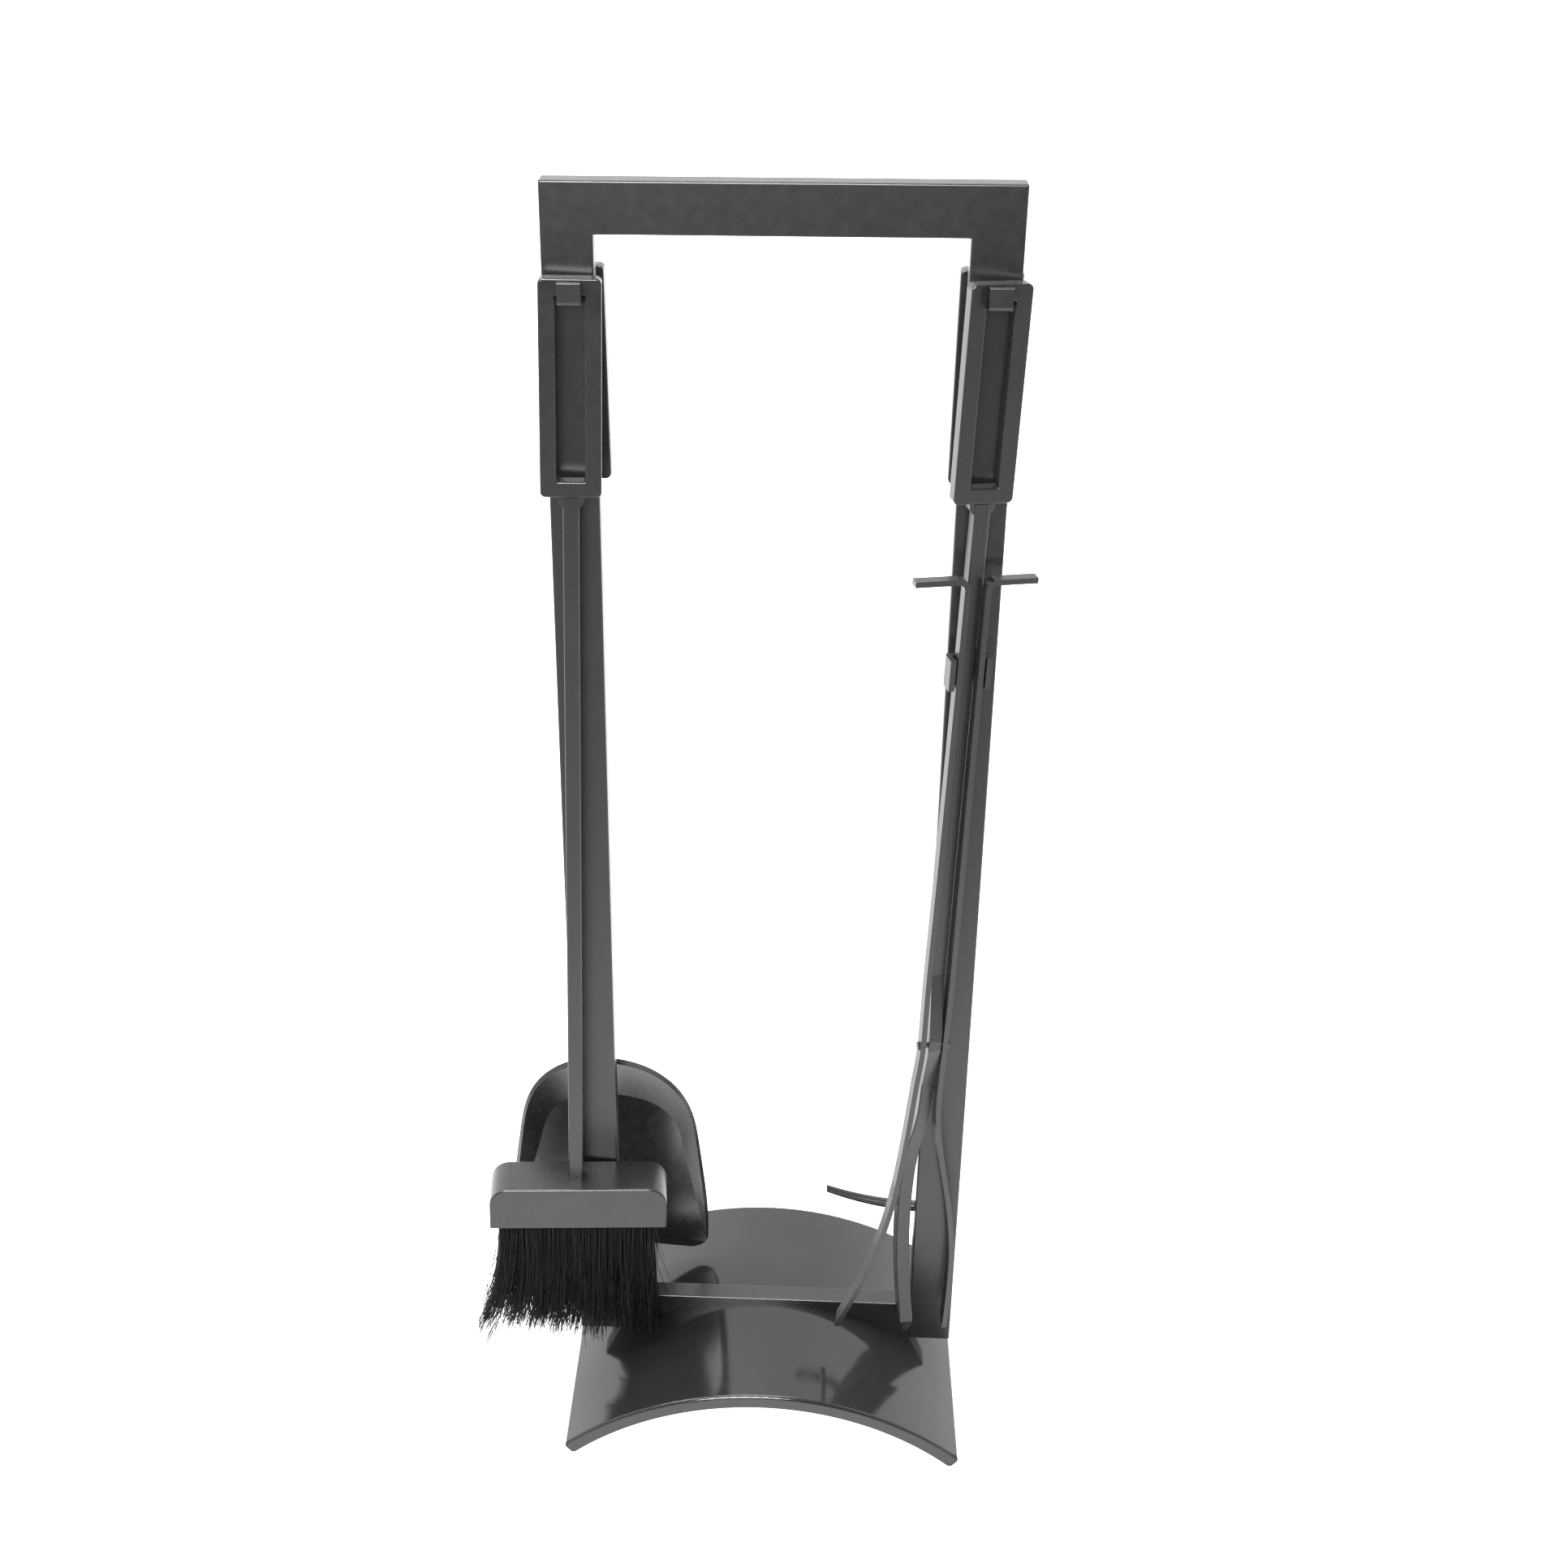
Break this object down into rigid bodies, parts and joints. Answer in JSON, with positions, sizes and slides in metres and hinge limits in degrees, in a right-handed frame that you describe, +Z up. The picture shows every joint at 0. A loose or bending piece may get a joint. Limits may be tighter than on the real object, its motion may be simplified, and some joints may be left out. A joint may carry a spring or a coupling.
{
  "type": "fireplace tool set",
  "caption": "Flat-bar fireplace tool stand on an arched plate, with loop-handled brush, shovel, poker and hinged log tongs hung on hooks.",
  "frame": {"origin": "on the floor below the middle of the whole set, midway between the front and back edges of the plate; the bar frame's own middle is 16.5 mm to +X", "axes": "+X along the bar frame towards the tongs and poker, +Y to the back where shovel and poker hang, +Z up"},
  "size_m": [0.2918, 0.165, 0.717],
  "materials": {
    "frame_paint": "semi-gloss anthracite paint",
    "plate_paint": "gloss anthracite paint",
    "tool_paint": "semi-gloss anthracite paint",
    "pan_paint": "gloss anthracite paint",
    "weld_paint": "painted weld bead",
    "rivet_steel": "painted rivet",
    "screw_steel": "zinc plated",
    "bristle": "black fibre",
    "block_wood": "bare wood"
  },
  "bodies": {
    "stand": {"base_plate": "plate_paint", "left_upright": "frame_paint", "right_upright": "frame_paint", "top_bar": "frame_paint", "cross_bar": "frame_paint", "hook_front_left": "frame_paint", "hook_front_right": "frame_paint", "hook_back_left": "frame_paint", "hook_back_right": "frame_paint", "hook_beads": "weld_paint", "base_screws": "screw_steel"},
    "brush": {"brush_handle": "tool_paint", "brush_handle_bead": "weld_paint", "brush_shaft": "tool_paint", "brush_shell": "tool_paint", "brush_block": "block_wood", "bristles": "bristle"},
    "shovel": {"shovel_handle": "tool_paint", "shovel_handle_bead": "weld_paint", "shovel_shaft": "tool_paint", "shovel_pan": "pan_paint", "shovel_pan_bead": "weld_paint"},
    "poker": {"poker_handle": "tool_paint", "poker_handle_bead": "weld_paint", "poker_shaft": "tool_paint", "poker_prong": "tool_paint", "poker_prong_bead": "weld_paint"},
    "tongs": {"tongs_handle": "tool_paint", "tongs_handle_bead": "weld_paint", "tongs_shaft": "tool_paint", "tongs_lug": "tool_paint", "guide_ear_left": "tool_paint", "guide_ear_right": "tool_paint", "guide_beads": "weld_paint"},
    "fork": {"fork_arm_left": "tool_paint", "fork_arm_right": "tool_paint", "fork_rivet": "rivet_steel"}
  },
  "joints": [
    {"name": "brush_lift", "type": "slide", "parent": "stand", "child": "brush", "axis": [0.0216, -0.2995, 0.9538], "range_m": [0, 0.09]},
    {"name": "tongs_lift", "type": "slide", "parent": "stand", "child": "tongs", "axis": [0.027, -0.2995, 0.9537], "range_m": [0, 0.09]},
    {"name": "shovel_lift", "type": "slide", "parent": "stand", "child": "shovel", "axis": [-0.0133, 0.2996, 0.954], "range_m": [0, 0.09]},
    {"name": "poker_lift", "type": "slide", "parent": "stand", "child": "poker", "axis": [0.0067, 0.2996, 0.9541], "range_m": [0, 0.09]},
    {"name": "fork_hinge", "type": "hinge", "parent": "tongs", "child": "fork", "pos_m": [0.10813, -0.02225, 0.25336], "axis": [0.9678, 0.2504, -0.0274], "range_deg": [0, 1.3]}
  ]
}
